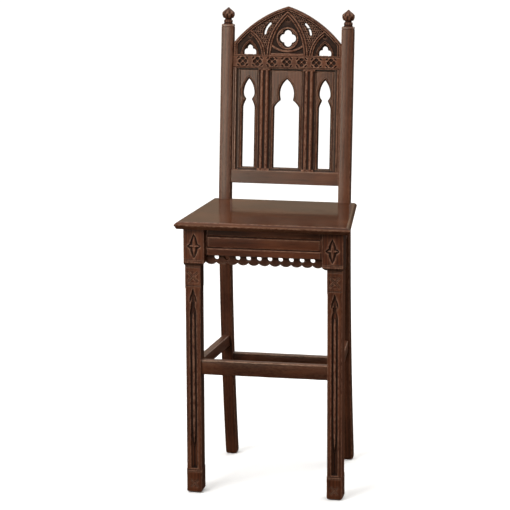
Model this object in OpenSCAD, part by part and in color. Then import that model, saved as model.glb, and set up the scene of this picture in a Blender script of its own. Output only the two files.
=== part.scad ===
// Tall bar chair in the Gothic Revival manner: joined hardwood frame, pierced and carved back,
// carved front legs, moulded seat board. X runs to the sitter's left, Y to the back, Z up.
// The origin is on the floor, at the middle of the chair's footprint.

/* [Seat] */
// Height of the seat's top above the floor
seat_h = 762; // [750:1:775]
// Thickness of the seat board
seat_t = 20; // [18:1:22]
// Width of the seat board at its front edge
seat_front_w = 478; // [470:2:486]
// Width of the seat board at its back edge
seat_back_w = 405; // [399:1:411]
// How far the seat stands out in front of the front legs
seat_overhang = 27; // [20:1:34]
// Front to back distance from the front legs' faces to the rear posts' faces at the seat
seat_depth = 298; // [288:1:308]

/* [Front legs] */
// Width across the outer faces of the front legs
leg_span = 430; // [424:2:434]
// Side of the front legs' square section
leg_w = 43; // [42:0.5:45]
// Height at which the carved top block of a front leg starts
block_z = 640; // [630:1:646]
// How far the top block stands forward of the leg
block_out = 8; // [5:1:10]

/* [Rear posts] */
// Width across the outer faces of the rear posts
post_span = 368; // [364:1:372]
// Width of a rear post, side to side
post_w = 32.5; // [31:0.5:34]
// Depth of a rear post, front to back
post_d = 32; // [31:0.5:34]
// Height of the rear posts' tops
post_top = 1243; // [1238:1:1250]
// How far the rear posts' feet kick back, measured from the seat
foot_kick = 76; // [60:1:80]
// Backward lean of the chair's back, in degrees
rake = 6.6; // [6:0.1:7]

/* [Back] */
// Height of the lower back rail above the seat, along the lean
rail_lift = 45.5; // [41:0.5:50]
// Height of the lower back rail
rail_h = 36.5; // [34:0.5:39]
// Height of the frieze rail's underside above the seat, along the lean
frieze_lift = 364.5; // [360:0.5:368]
// Height of the frieze rail
frieze_h = 37; // [35:0.5:39]
// Height of the crest's apex above the seat, along the lean
apex_lift = 536; // [530:0.5:540]
// Radius of each half of the crest's pointed arch
arch_r = 312; // [300:2:340]
// Width of the middle opening
mid_opening_w = 69; // [64:1:72]
// Width of the two side openings
side_opening_w = 32; // [28:1:34]

/* [Aprons and stretchers] */
// Height of the aprons under the seat
apron_h = 74.5; // [72:0.5:78]
// Number of scallops along the pierced valance
scallops = 11; // [9:1:13]
// Height of the front stretcher's underside
front_stretcher_z = 334.5; // [324:0.5:344]
// Height of the side stretchers' undersides
side_stretcher_z = 334.5; // [326:0.5:344]
// Height of the rear stretcher's underside
rear_stretcher_z = 281.5; // [272:0.5:288]

/* [Hidden] */

// Depths: everything is placed from the front faces of the front legs. The rearmost point is
// either a rear foot or the ball of a finial.
finial_r = 17.5;
finial_ball_z = 28;
post_len = (post_top - seat_h) / cos(rake);
back_d = post_d * cos(rake);
finial_reach = (post_len + finial_ball_z) * sin(rake) + back_d / 2 * cos(rake) + finial_r;
overall_d = seat_overhang + seat_depth + max(finial_reach, foot_kick + post_d);
leg_y = -overall_d / 2 + seat_overhang;
post_y = leg_y + seat_depth;
glide_h = 3;

// Centres of the front legs and rear posts.
leg_x = (leg_span - leg_w) / 2;
post_x = (post_span - post_w) / 2;
inner_x = post_span / 2 - post_w;
leg_mid_y = leg_y + leg_w / 2;
post_mid_y = post_y + post_d / 2;

// Plan angle of the side rails, which run from the legs in to the posts.
splay = atan((leg_x - post_x) / (post_mid_y - leg_mid_y));

// Sweep of the rear posts: one arc below the seat, a short ease, then the straight lean.
ease = 40;
arc_top = seat_h - ease;
sweep_r = (arc_top * arc_top + foot_kick * foot_kick) / (2 * foot_kick);
function rear_y(z) =
    z < arc_top ? post_y + sweep_r - sqrt(sweep_r * sweep_r - pow(arc_top - z, 2)) :
    z < seat_h + ease ? post_y + tan(rake) * pow(z - arc_top, 2) / (4 * ease) :
    post_y + tan(rake) * (z - seat_h);

// Aprons, just under the seat.
seat_z = seat_h - seat_t;
apron_z = seat_z - apron_h;
apron_t = 22;
rail_t = 20;
block_in = 12;
block_side = 2;
block_x0 = leg_x - leg_w / 2 - block_in;
valance_drop = 26.5;
valance_t = 12;
scallop_h = 6.5;
pitch = 2 * block_x0 / scallops;

// Stretchers.
stretcher_h = 32;
front_stretcher_h = 41;

// Back panels, in the leaning frame: x across, y from the posts' front plane, z up the lean.
panel_y = 14;
panel_t = 11;
panel_in = 5;
mullion_x = 62.5;
mullion_w = 33;
strip_x0 = 134;
mid_panel_w = 2 * mullion_x - mullion_w;
side_panel_x = (mullion_x + mullion_w / 2 + strip_x0) / 2;
side_panel_w = strip_x0 - mullion_x - mullion_w / 2;
opening_z0 = 91;
opening_z1 = 335;
waist_z = 279.5;
bay_z0 = rail_lift + rail_h;
crest_z0 = frieze_lift + frieze_h;
crest_y = 8;
crest_t = 18;
arch_end_z = 432;
quatrefoil_z = 448;
eye_reach = 11.5;
eye_lobe = 11.2;
trefoil_x = 105;
rosette_pitch = 41.25;

WOOD = [0.24, 0.13, 0.09];
DARK_WOOD = [0.19, 0.10, 0.07];
CARVED_WOOD = [0.27, 0.16, 0.11];
STEEL = [0.62, 0.61, 0.58];

// ---------- frames and small shapes ----------

// The leaning frame of the chair's back.
module leaning() translate([0, post_y, seat_h]) rotate([-rake, 0, 0]) children();

// Left and right copies share one drawing: side is 1 or -1 along X.
module on_side(side) mirror([side < 0 ? 1 : 0, 0, 0]) children();

// A block given by its low corner and size, with its X side centred.
module bar(w, y, d, z, h) translate([-w / 2, y, z]) cube([w, d, h]);

// A flat outline in X and Z, thick along Y.
module plate(y, t) translate([0, y + t, 0]) rotate([90, 0, 0]) linear_extrude(t) children();

// The plan frame of a side rail: x across the rail, y from the front leg's centre to the post.
module side_line() translate([leg_x, leg_mid_y, 0]) rotate([0, 0, splay]) children();

// ---------- rear posts ----------

// Side outline of a rear post, extruded across its width.
module post_blank() {
    low = [for (i = [0:24]) let (z = glide_h + (arc_top - glide_h) * i / 24) [rear_y(z), z]];
    mid = [for (i = [1:5]) let (z = arc_top + 2 * ease * i / 5) [rear_y(z), z]];
    front = concat(low, mid);
    top_y = post_y + post_len * sin(rake);
    top_z = seat_h + post_len * cos(rake);
    top = [[top_y, top_z], [top_y + back_d * cos(rake), top_z - back_d * sin(rake)]];
    back = [for (i = [len(front) - 1:-1:0]) [front[i][0] + post_d, front[i][1]]];
    translate([post_x - post_w / 2, 0, 0]) rotate([90, 0, 90])
        linear_extrude(post_w) polygon(concat(front, top, back));
}

// Every tenon that enters a rear post, drawn on the chair's +X side.
module side_tenon_rear(z, h) {
    y0 = rear_y(z + h / 2);
    translate([post_x - 5, y0 - 8, z]) cube([10, 8 + 17, h]);
}
module cross_tenon_rear(y, t, z, h, l) translate([inner_x - 4, y, z]) cube([4 + l, t, h]);
module side_tenon_front(z, h) {
    translate([leg_x - 5, leg_y + 27, z]) cube([10, 17 + 8, h]);
}
module cross_tenon_front(y, t, z, h) translate([leg_x - leg_w / 2 - 4, y, z]) cube([4 + 22, t, h]);

module apron_side_tenons() {
    side_tenon_front(apron_z + 10, apron_h - 20);
    side_tenon_rear(apron_z + 10, apron_h - 20);
}
module stretcher_side_tenons() {
    side_tenon_front(side_stretcher_z + 5, stretcher_h - 10);
    side_tenon_rear(side_stretcher_z + 5, stretcher_h - 10);
}
module rear_apron_tenon() cross_tenon_rear(post_y + 19, 8, apron_z + 10, apron_h - 20, 14);
module rear_stretcher_tenon()
    cross_tenon_rear(rear_y(rear_stretcher_z + 17) + 11, 9, rear_stretcher_z + 6, 22, 20);
module back_rail_tenon() leaning() translate([inner_x - 4, 12, rail_lift + 6]) cube([24, 10, rail_h - 12]);
module frieze_tenon() leaning() translate([inner_x - 4, 12, frieze_lift + 6]) cube([24, 10, frieze_h - 12]);
module crest_tenon() leaning() translate([inner_x - 4, 13, crest_z0 + 6]) cube([16, 8, 24]);
module finial_dowel() leaning()
    translate([post_x, back_d / 2, post_len - 26]) cylinder(d = 10, h = 27, $fn = 40);

module nail_hole(x, y) translate([x, y, 0]) cylinder(d = 3, h = 18, $fn = 24);

module rear_post(side) color(WOOD) on_side(side) difference() {
    post_blank();
    apron_side_tenons();
    stretcher_side_tenons();
    rear_apron_tenon();
    rear_stretcher_tenon();
    back_rail_tenon();
    frieze_tenon();
    crest_tenon();
    finial_dowel();
    nail_hole(post_x, rear_y(0) + post_d / 2);
}
module rear_post_left() rear_post(1);
module rear_post_right() rear_post(-1);

// ---------- finials ----------

module finial(side) color(CARVED_WOOD) on_side(side) leaning()
    translate([post_x, back_d / 2, post_len]) {
        translate([0, 0, -26]) cylinder(d = 10, h = 27, $fn = 40);
        cylinder(d = 26, h = 4, $fn = 48);
        translate([0, 0, 4]) cylinder(d1 = 25, d2 = 21, h = 4, $fn = 48);
        translate([0, 0, 8]) cylinder(d1 = 21, d2 = 26, h = 7, $fn = 48);
        rotate_extrude($fn = 48) intersection() {
            translate([0, finial_ball_z]) circle(r = finial_r, $fn = 64);
            translate([0, 14]) square([20, 29]);
        }
        translate([0, 0, 36]) cylinder(d1 = 30, d2 = 4, h = 10, $fn = 48);
    }
module finial_left() finial(1);
module finial_right() finial(-1);

// ---------- carved back ----------

// Half-arch outline: circles whose centres put the arc through the apex and the arch's end.
module arch(grow = 0) {
    span = [inner_x, arch_end_z - apex_lift];
    chord = norm(span);
    reach = sqrt(arch_r * arch_r - chord * chord / 4);
    cx = span[0] / 2 + span[1] / chord * reach;
    cz = apex_lift + span[1] / 2 - span[0] / chord * reach;
    intersection() {
        for_both(cx, cz, arch_r + grow);
        translate([-inner_x - grow, crest_z0 - grow])
            square([2 * (inner_x + grow), apex_lift - crest_z0 + 2 * grow]);
    }
}
// The lens where two mirrored circles overlap.
module for_both(cx, cz, r) intersection() {
    translate([cx, cz]) circle(r = r, $fn = 720);
    translate([-cx, cz]) circle(r = r, $fn = 720);
}

// A pointed lancet outline standing on z0, width 2 * a, apex at z1.
module lancet(a, z0, z1) {
    rise = z1 - z0;
    r = (a * a + rise * rise) / (2 * a);
    intersection() {
        for_both(a - r, z0, r);
        translate([-a, z0]) square([2 * a, rise]);
    }
}

module quatrefoil(r, lobe) {
    for (i = [0:3]) rotate(90 * i) translate([r, 0]) circle(r = lobe, $fn = 48);
    circle(r = r, $fn = 48);
}
module trefoil(w) {
    lobe = w * 0.23;
    translate([0, lobe * 2.3]) circle(r = lobe, $fn = 48);
    for (s = [-1, 1]) translate([s * (w / 2 - lobe), lobe * 0.95]) circle(r = lobe, $fn = 48);
    translate([-w / 2, 0]) square([w, lobe * 0.95]);
    translate([-lobe, 0]) square([2 * lobe, lobe * 2]);
}

// Slender curved slot, drawn as a run of overlapping round cutters along an arc.
module slot() {
    for (a = [8:5:48]) translate([-19.2 - 45 * cos(a), quatrefoil_z + 6.2 + 45 * sin(a)])
        circle(r = 3.2, $fn = 24);
}

module crest_panel() color(CARVED_WOOD) {
    leaning() difference() {
        plate(crest_y, crest_t) difference() {
            arch();
            translate([0, quatrefoil_z]) quatrefoil(eye_reach, eye_lobe);
            for (s = [-1, 1]) translate([s * trefoil_x, crest_z0 + 1]) trefoil(34);
            slot();
            mirror([1, 0]) slot();
        }
        // Sunk ground between the arch moulding and the middle lancet.
        plate(crest_y - 1, 5) difference() {
            arch(-11);
            lancet(60, crest_z0 - 1, apex_lift - 12);
        }
        plate(crest_y - 1, 4) lancet(48, crest_z0 + 4, apex_lift - 26);
        crest_dowel_set();
    }
    for (s = [-1, 1]) on_side(s) difference() {
        crest_tenon();
        leaning() plate(0, 40) square([2 * inner_x, 1200], center = true);
    }
}

module crest_dowel_set() for (x = [-76, 0, 76])
    translate([x, crest_y + crest_t / 2, crest_z0 - 14]) cylinder(d = 8, h = 28 - (x == 0 ? 10 : 12), $fn = 32);
module crest_dowels() color(DARK_WOOD) leaning() crest_dowel_set();

// Shallow round sinking with a raised centre, one for each frieze rosette.
module rosette(r) difference() {
    quatrefoil(r * 0.55, r * 0.5);
    circle(r = r * 0.3, $fn = 32);
}

module frieze_rail() color(CARVED_WOOD) {
    leaning() difference() {
        bar(2 * inner_x, 6, 22, frieze_lift, frieze_h);
        for (i = [-3:3]) plate(5, 4) translate([rosette_pitch * i, frieze_lift + frieze_h / 2])
            rosette(12);
        panel_boards();
        mullion_tenons();
        crest_dowel_set();
    }
    for (s = [-1, 1]) on_side(s) difference() {
        frieze_tenon();
        leaning() plate(0, 40) square([2 * inner_x, 1200], center = true);
    }
}

module lower_back_rail() color(WOOD) {
    leaning() difference() {
        bar(2 * inner_x, 6, 22, rail_lift, rail_h);
        panel_boards();
        mullion_tenons();
    }
    for (s = [-1, 1]) on_side(s) difference() {
        back_rail_tenon();
        leaning() plate(0, 40) square([2 * inner_x, 1200], center = true);
    }
}

// Panel boards with their edges, which are let into the rails, mullions and edge strips.
module panel_board(x, w) translate([x, 0, 0])
    bar(w + 2 * panel_in, panel_y, panel_t, bay_z0 - panel_in, frieze_lift - bay_z0 + 2 * panel_in);
module panel_boards() {
    panel_board(0, mid_panel_w);
    for (s = [-1, 1]) panel_board(s * side_panel_x, side_panel_w);
}

// Keyhole lancet: a pointed head over a waist, above a long straight-sided light.
module keyhole(w, head_w, waist_w) {
    shoulder_z = waist_z - 24;
    step = (head_w - waist_w) / 2;
    under_r = (15 * 15 + step * step) / (2 * step);
    under_h = sqrt(head_w * under_r - head_w * head_w / 4);
    translate([-w / 2, opening_z0]) square([w, shoulder_z - opening_z0]);
    haunch(w / 2, waist_w / 2 - 0.4, shoulder_z, waist_z - 2);
    translate([-waist_w / 2, waist_z - 6]) square([waist_w, 12]);
    lancet(head_w / 2, waist_z + 16, opening_z1);
    mirror_at(waist_z + 16) intersection() {
        lancet(head_w / 2, waist_z + 16, waist_z + 16 + under_h);
        translate([-head_w / 2, waist_z + 16]) square([head_w, 17]);
    }
}

// Sides that curve in from the long light to the waist.
module haunch(half, waist_half, z0, z1) {
    side = [for (t = [0:0.125:1]) [waist_half + (half - waist_half) * (1 - pow(t, 1.6)), z0 + (z1 - z0) * t]];
    edge = concat([[half, z0 - 1]], side);
    polygon(concat(edge, [for (i = [len(edge) - 1:-1:0]) [-edge[i][0], edge[i][1]]]));
}
module mirror_at(z) translate([0, z]) mirror([0, 1]) translate([0, -z]) children();

module splat(x, w, opening_w, head_w, waist_w) color(WOOD) leaning() difference() {
    panel_board(x, w);
    translate([x, 0, 0]) plate(panel_y - 1, panel_t + 2) keyhole(opening_w, head_w, waist_w);
}
module splat_centre() splat(0, mid_panel_w, mid_opening_w, 39, 35);
module splat_left() splat(side_panel_x, side_panel_w, side_opening_w, 30, 17);
module splat_right() splat(-side_panel_x, side_panel_w, side_opening_w, 30, 17);

module mullion_tenon_at(z, h) for (s = [-1, 1]) translate([s * mullion_x, 0, 0]) bar(20, 14, 8, z, h);
module mullion_tenons() {
    mullion_tenon_at(bay_z0 - 14, 14);
    mullion_tenon_at(frieze_lift, 14);
}

// Moulded section of a mullion: two beads between hollows, on a flat back.
module mullion_section() difference() {
    translate([-mullion_w / 2, 7]) square([mullion_w, 21]);
    translate([0, 6]) circle(r = 4.5, $fn = 32);
    for (s = [-1, 1]) translate([s * mullion_w / 2, 5]) circle(r = 7, $fn = 32);
}
module mullion(side) color(WOOD) leaning() difference() {
    union() {
        translate([side * mullion_x, 0, bay_z0]) linear_extrude(frieze_lift - bay_z0) mullion_section();
        translate([side * mullion_x, 0, 0]) bar(20, 14, 8, bay_z0 - 14, frieze_lift - bay_z0 + 28);
    }
    panel_boards();
}
module mullion_left() mullion(1);
module mullion_right() mullion(-1);

module edge_strip(side) color(WOOD) on_side(side) leaning() difference() {
    translate([0, 0, bay_z0]) linear_extrude(frieze_lift - bay_z0) difference() {
        translate([strip_x0, 8]) square([inner_x - strip_x0, 20]);
        translate([strip_x0 + 2, 6]) circle(r = 7, $fn = 32);
    }
    panel_boards();
}
module edge_strip_left() edge_strip(1);
module edge_strip_right() edge_strip(-1);

// ---------- seat ----------

// Seat outline pulled in by an inset, as a thin layer at height z.
module seat_layer(inset, z) {
    y0 = leg_y - seat_overhang + inset;
    y1 = post_y + 18 - inset;
    f = seat_front_w / 2 - inset;
    b = seat_back_w / 2 - inset;
    translate([0, 0, z]) linear_extrude(0.02) polygon([[-f, y0], [f, y0], [b, y1], [-b, y1]]);
}
module seat_board() color(DARK_WOOD) difference() {
    hull() {
        seat_layer(5, seat_z);
        seat_layer(0, seat_z + seat_t * 0.6);
        seat_layer(8, seat_h - 0.02);
    }
    for (s = [-1, 1]) translate([s * post_x, post_y + 50, seat_z]) cube([post_w + 1, 100, 60], center = true);
    seat_screw_set();
}

// ---------- front legs ----------

module front_leg_block() translate([leg_x - leg_w / 2 - block_in, leg_y - block_out, block_z])
    cube([leg_w + block_in + block_side, leg_w + block_out, seat_z - block_z]);

// Long blind lancet sunk in a leg's front, with a raised rib left standing.
module leg_sinking() translate([leg_x, leg_y + 4, 0]) rotate([90, 0, 0]) linear_extrude(5) {
    difference() {
        union() {
            translate([-12, 70]) square([24, 465]);
            lancet(10, 535, 574);
        }
        translate([-5, 84]) square([10, 420]);
    }
}
module front_leg(side) color(CARVED_WOOD) on_side(side) difference() {
    union() {
        translate([leg_x - leg_w / 2, leg_y, glide_h]) cube([leg_w, leg_w, block_z - glide_h + 1]);
        front_leg_block();
    }
    leg_sinking();
    translate([leg_x + (block_side - block_in) / 2, leg_y - block_out + 3, 693]) rotate([90, 0, 0]) linear_extrude(4) block_star();
    apron_side_tenons();
    stretcher_side_tenons();
    front_apron_tenon();
    front_stretcher_tenon();
    nail_hole(leg_x, leg_mid_y);
    corner_block_screw_set();
}
// Four pointed petals around a centre.
module block_star() for (a = [0, 90]) rotate(a) petal(a == 0 ? 34 : 18);
module petal(h) {
    r = (h * h + 64) / 16;
    for_both(8 - r, 0, r);
}
module front_leg_left() front_leg(1);
module front_leg_right() front_leg(-1);

// ---------- aprons ----------

module front_apron_tenon() cross_tenon_front(leg_y + 8, 9, apron_z + 12, apron_h - 24);
module front_apron() color(CARVED_WOOD) {
    difference() {
        bar(2 * block_x0, leg_y + 2, apron_t, apron_z, apron_h);
        bar(2 * block_x0 + 2, leg_y + 2 + apron_t - valance_t, valance_t + 1, apron_z - 1, 26);
        for (z = [apron_z + 20, apron_z + 51]) bar(2 * block_x0 + 2, leg_y + 1, 3, z, 2.4);
        corner_block_screw_set();
    }
    for (s = [-1, 1]) on_side(s) intersection() {
        front_apron_tenon_full();
        translate([block_x0, -500, 0]) cube([200, 1000, 2000]);
    }
}
// The tenon also crosses the thickness of the leg's block.
module front_apron_tenon_full() translate([block_x0, leg_y + 8, apron_z + 12])
    cube([block_in + 22, 9, apron_h - 24]);

// Scalloped lower edge with a drilled hole above each cusp.
module valance_outline() {
    lobe_r = (pitch * pitch / 4 + scallop_h * scallop_h) / (2 * scallop_h);
    top = apron_z + 25;
    low = apron_z - valance_drop;
    pts = [for (i = [0:scallops - 1], k = [0:8])
        let (x = -block_x0 + pitch * (i + k / 8), u = x + block_x0 - pitch * (i + 0.5))
        if (k < 8 || i == scallops - 1) [x, low + lobe_r - sqrt(lobe_r * lobe_r - u * u)]];
    difference() {
        polygon(concat(pts, [[block_x0, top], [-block_x0, top]]));
        for (i = [1:scallops - 1]) translate([-block_x0 + pitch * i, apron_z - 6.5]) circle(d = 13.5, $fn = 40);
    }
}
module pierced_valance() color(CARVED_WOOD) difference() {
    plate(leg_y + 2 + apron_t - valance_t, valance_t) valance_outline();
    valance_brad_set();
}
module valance_brad_set() for (i = [-2:2]) translate([i * 2 * pitch, leg_y + 2 + apron_t, apron_z + 14])
    rotate([90, 0, 0]) cylinder(d = 2, h = 18, $fn = 24);
module valance_brads() color(STEEL) valance_brad_set();

module side_rail(z, h) side_line() translate([-rail_t / 2, 4, z]) cube([rail_t, 400, h]);
module leg_core() translate([leg_x - leg_w / 2 - block_in, leg_y - block_out, 0])
    cube([leg_w + block_in + block_side, leg_w + block_out, seat_h]);
// Everything from the posts' front surface backwards, to cut a rail's rear shoulder.
module behind_post() {
    low = [for (i = [0:24]) let (z = glide_h + (arc_top - glide_h) * i / 24) [rear_y(z), z]];
    mid = [for (i = [1:5]) let (z = arc_top + 2 * ease * i / 5) [rear_y(z), z]];
    rotate([90, 0, 90]) linear_extrude(400)
        polygon(concat(low, mid, [[900, seat_h + ease], [900, glide_h]]));
}
module side_rail_body(z, h) difference() {
    side_rail(z, h);
    leg_core();
    behind_post();
}
module side_apron(side) color(WOOD) on_side(side) difference() {
    union() {
        side_rail_body(apron_z, apron_h);
        intersection() {
            apron_side_tenons();
            union() {
                translate([0, leg_y, 0]) cube([400, leg_w + 6, 900]);
                translate([0, post_y - 6, 0]) cube([400, 100, 900]);
            }
        }
    }
    corner_block_screw_set();
}
module side_apron_left() side_apron(1);
module side_apron_right() side_apron(-1);

module rear_apron() color(WOOD) difference() {
    union() {
        bar(2 * inner_x, post_y + 11, 18, apron_z, apron_h);
        for (s = [-1, 1]) on_side(s) rear_apron_tenon();
    }
    corner_block_screw_set();
}

// ---------- stretchers ----------

module front_stretcher_tenon()
    cross_tenon_front(leg_y + 11, 9, front_stretcher_z + 7, front_stretcher_h - 14);
module front_stretcher() color(WOOD) {
    bar(2 * (leg_x - leg_w / 2), leg_y + 6, rail_t, front_stretcher_z, front_stretcher_h);
    for (s = [-1, 1]) on_side(s) front_stretcher_tenon();
}
module rear_stretcher() color(WOOD) {
    y0 = rear_y(rear_stretcher_z + 17) + 6;
    bar(2 * inner_x, y0, rail_t, rear_stretcher_z, stretcher_h - 2);
    for (s = [-1, 1]) on_side(s) rear_stretcher_tenon();
}
module side_stretcher(side) color(WOOD) on_side(side) {
    side_rail_body(side_stretcher_z, stretcher_h);
    stretcher_side_tenons();
}
module side_stretcher_left() side_stretcher(1);
module side_stretcher_right() side_stretcher(-1);

// ---------- corner blocks and hardware ----------

corner_z = seat_z - 46;
// Three-sided block filling the corner between two aprons, notched round the leg or post.
module corner_block(side, front) color(DARK_WOOD) on_side(side) difference() {
    translate([0, 0, corner_z]) linear_extrude(46) corner_outline(front);
    leg_core();
    side_line() translate([-rail_t / 2, -40, 0]) cube([200, 500, 900]);
    translate([inner_x, post_y - 0.4, 0]) cube([100, 100, 900]);
    corner_block_screw_set();
    seat_screw_set();
}
module corner_outline(front) {
    yf = leg_y + 2 + apron_t;
    yr = post_y + 11;
    if (front) polygon([[leg_x - 90, yf], [leg_x + 30, yf], [leg_x + 30, yf + 90], [leg_x - 14, yf + 90]]);
    else polygon([[post_x - 80, yr], [post_x + 10, yr], [post_x + 10, yr - 80], [post_x - 8, yr - 80]]);
}
module corner_block_front_left() corner_block(1, true);
module corner_block_front_right() corner_block(-1, true);
module corner_block_rear_left() corner_block(1, false);
module corner_block_rear_right() corner_block(-1, false);

// A countersunk wood screw pointing along +Z, its head's top at the origin.
module screw(l, d) {
    cylinder(d1 = d * 2, d2 = d, h = d * 0.55, $fn = 24);
    cylinder(d = d, h = l, $fn = 24);
}
module corner_block_screw_set() for (s = [-1, 1]) on_side(s) {
    translate([leg_x - 64, leg_y + 2 + apron_t + 17, corner_z + 14]) rotate([90, 0, 0]) screw(29, 4);
    translate([post_x - 56, post_y + 11 - 22, corner_z + 14]) rotate([-90, 0, 0]) screw(34, 4);
}
module corner_block_screws() color(STEEL) corner_block_screw_set();

module seat_screw_set() for (s = [-1, 1]) on_side(s) {
    translate([leg_x - 42, leg_y + apron_t + 30, corner_z]) screw(58, 4.5);
    translate([post_x - 28, post_y - 14, corner_z]) screw(58, 4.5);
}
module seat_screws() color(STEEL) seat_screw_set();

// Nail-on glides: a domed disc with a flat foot and a nail driven up into the leg.
module glide(x, y) translate([x, y, 0]) {
    cylinder(d1 = 18, d2 = 22, h = glide_h, $fn = 40);
    cylinder(d = 3, h = 18, $fn = 24);
}
module foot_glides() color(STEEL) for (s = [-1, 1]) {
    glide(s * leg_x, leg_mid_y);
    glide(s * post_x, rear_y(0) + post_d / 2);
}

front_leg_left();
front_leg_right();
rear_post_left();
rear_post_right();
finial_left();
finial_right();
crest_panel();
frieze_rail();
lower_back_rail();
splat_left();
splat_centre();
splat_right();
mullion_left();
mullion_right();
edge_strip_left();
edge_strip_right();
crest_dowels();
seat_board();
front_apron();
pierced_valance();
valance_brads();
side_apron_left();
side_apron_right();
rear_apron();
front_stretcher();
rear_stretcher();
side_stretcher_left();
side_stretcher_right();
corner_block_front_left();
corner_block_front_right();
corner_block_rear_left();
corner_block_rear_right();
corner_block_screws();
seat_screws();
foot_glides();
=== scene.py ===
"""A carved Gothic Revival bar chair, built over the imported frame.

Boards are height-field slabs: an outline and its piercings are signed distances, and the carving is
a depth below the front face. Every length below is in millimetres until it becomes a vertex.
"""
from functools import reduce
from math import atan, cos, hypot, pi, radians, sin, sqrt, tan
import bpy
import numpy as np
from numpy import where
from mathutils import Matrix, Vector


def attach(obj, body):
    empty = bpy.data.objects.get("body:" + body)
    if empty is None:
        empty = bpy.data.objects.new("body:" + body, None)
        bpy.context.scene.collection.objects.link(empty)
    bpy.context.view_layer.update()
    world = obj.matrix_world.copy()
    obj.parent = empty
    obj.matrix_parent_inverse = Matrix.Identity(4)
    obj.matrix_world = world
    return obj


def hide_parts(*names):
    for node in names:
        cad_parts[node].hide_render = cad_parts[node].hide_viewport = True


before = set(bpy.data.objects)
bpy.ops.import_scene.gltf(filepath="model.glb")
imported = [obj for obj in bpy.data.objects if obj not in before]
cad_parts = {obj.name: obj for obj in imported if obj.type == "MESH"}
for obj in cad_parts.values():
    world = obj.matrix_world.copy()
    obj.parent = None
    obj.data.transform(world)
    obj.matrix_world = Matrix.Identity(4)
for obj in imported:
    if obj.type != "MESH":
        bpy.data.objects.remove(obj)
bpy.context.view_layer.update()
MM = 0.001
BODY = "root"
scene = bpy.context.scene


# ----- sizes read from the frame -----

def node_points(node):
    """A CAD node's vertices in millimetres."""
    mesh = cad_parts[node].data
    co = np.zeros(len(mesh.vertices) * 3)
    mesh.vertices.foreach_get("co", co)
    return co.reshape(-1, 3) / MM


def span(node):
    """Lowest and highest corner of a CAD node, in millimetres."""
    points = node_points(node)
    return points.min(0), points.max(0)


RAKE = radians(6.6)
POST_LO, POST_HI = span("rear_post_left")
SEAT_LO, SEAT_HI = span("seat_board")
APRON_Z0 = span("front_apron")[0][2]
SEAT_H = SEAT_HI[2]
SEAT_Z = SEAT_LO[2]
POST_Y = POST_LO[1]
INNER_X = POST_LO[0]
POST_W = POST_HI[0] - POST_LO[0]
POST_X = (POST_HI[0] + POST_LO[0]) / 2
POST_D = 32.0
FLOOR_GAP = POST_LO[2]
LEAN = Matrix.Translation((0, POST_Y * MM, SEAT_H * MM)) @ Matrix.Rotation(-RAKE, 4, "X")
SIDES = {1: "left", -1: "right"}


def lean_span(node):
    """Lowest and highest corner of a node in the leaning frame of the back."""
    turn = np.array(Matrix.Rotation(-RAKE, 3, "X"))
    local = (node_points(node) - np.array([0, POST_Y, SEAT_H])) @ turn
    return local.min(0), local.max(0)


def leaned(points):
    """Takes points from the leaning frame of the back to the chair's own frame."""
    m = np.array(LEAN)
    return points @ m[:3, :3].T + m[:3, 3] / MM


# ----- signed distances and profiles -----

def least(*fields):
    """All that any of the outlines holds, or the shallowest of some depths."""
    return reduce(np.minimum, fields)


def most(*fields):
    """What the outlines have in common, or the deepest of some depths."""
    return reduce(np.maximum, fields)


def unit(t):
    return np.clip(t, 0, 1)


def bell(d, width):
    return np.exp(-(d / width) ** 2)


def disc(x, z, cx, cz, r):
    return np.hypot(x - cx, z - cz) - r


def rect(x, z, x0, x1, z0, z1):
    across = np.abs(x - (x0 + x1) / 2) - (x1 - x0) / 2
    return most(across, np.abs(z - (z0 + z1) / 2) - (z1 - z0) / 2)


def oblong(x0, x1, z0, z1):
    """Outline of a plain rectangular board."""
    return lambda x, z: rect(x, z, x0, x1, z0, z1)


def stroke(x, z, ax, az, bx, bz):
    """Distance from a straight line's stretch."""
    dx, dz = bx - ax, bz - az
    t = unit(((x - ax) * dx + (z - az) * dz) / (dx * dx + dz * dz))
    return np.hypot(x - ax - t * dx, z - az - t * dz)


def pointed(x, z, half, base, apex):
    """A pointed arch of two mirrored arcs above base, with straight sides below it."""
    rise = apex - base
    r = (half * half + rise * rise) / (2 * half)
    arcs = most(disc(x, z, half - r, base, r), disc(x, z, r - half, base, r))
    return where(z > base, arcs, np.abs(x) - half)


def turned(x, z, degrees):
    """Coordinates along a direction that leans this far from z towards x."""
    a = radians(degrees)
    return x * cos(a) - z * sin(a), x * sin(a) + z * cos(a)


def petal(x, z, half, width):
    """A pointed lens along z."""
    r = (half * half + width * width) / (2 * width)
    return most(disc(x, z, width - r, 0, r), disc(x, z, r - width, 0, r))


def lobes(x, z, reach, lobe):
    """Four round lobes round a centre."""
    ax, az = np.abs(x), np.abs(z)
    four = least(disc(ax, az, reach, 0, lobe), disc(ax, az, 0, reach, lobe))
    return least(four, np.hypot(x, z) - reach)


def ramp(t):
    """Smooth step from 0 to 1."""
    t = unit(t)
    return t * t * (3 - 2 * t)


def circle(r, d):
    """Half the chord of a circle of radius r, at distance d from its middle."""
    return np.sqrt(most(r ** 2 - d ** 2, 0))


def groove(d, half, depth):
    """A round-bottomed groove about d = 0."""
    return depth * circle(1, d / half)


def blurred(field, weight, sigma):
    """Gaussian blur of a field that only counts where weight is 1."""
    n = max(1, int(3 * sigma))
    k = np.exp(-0.5 * (np.arange(-n, n + 1) / sigma) ** 2)
    k /= k.sum()

    def smooth(row):
        return np.convolve(row, k)[n:n + len(row)]

    def both(a):
        return np.apply_along_axis(smooth, 1, np.apply_along_axis(smooth, 0, a))

    return both(field * weight) / most(both(weight), 1e-6)


# ----- meshes -----

def new_object(name, data):
    thing = bpy.data.objects.new(name, data)
    scene.collection.objects.link(thing)
    return thing


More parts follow.
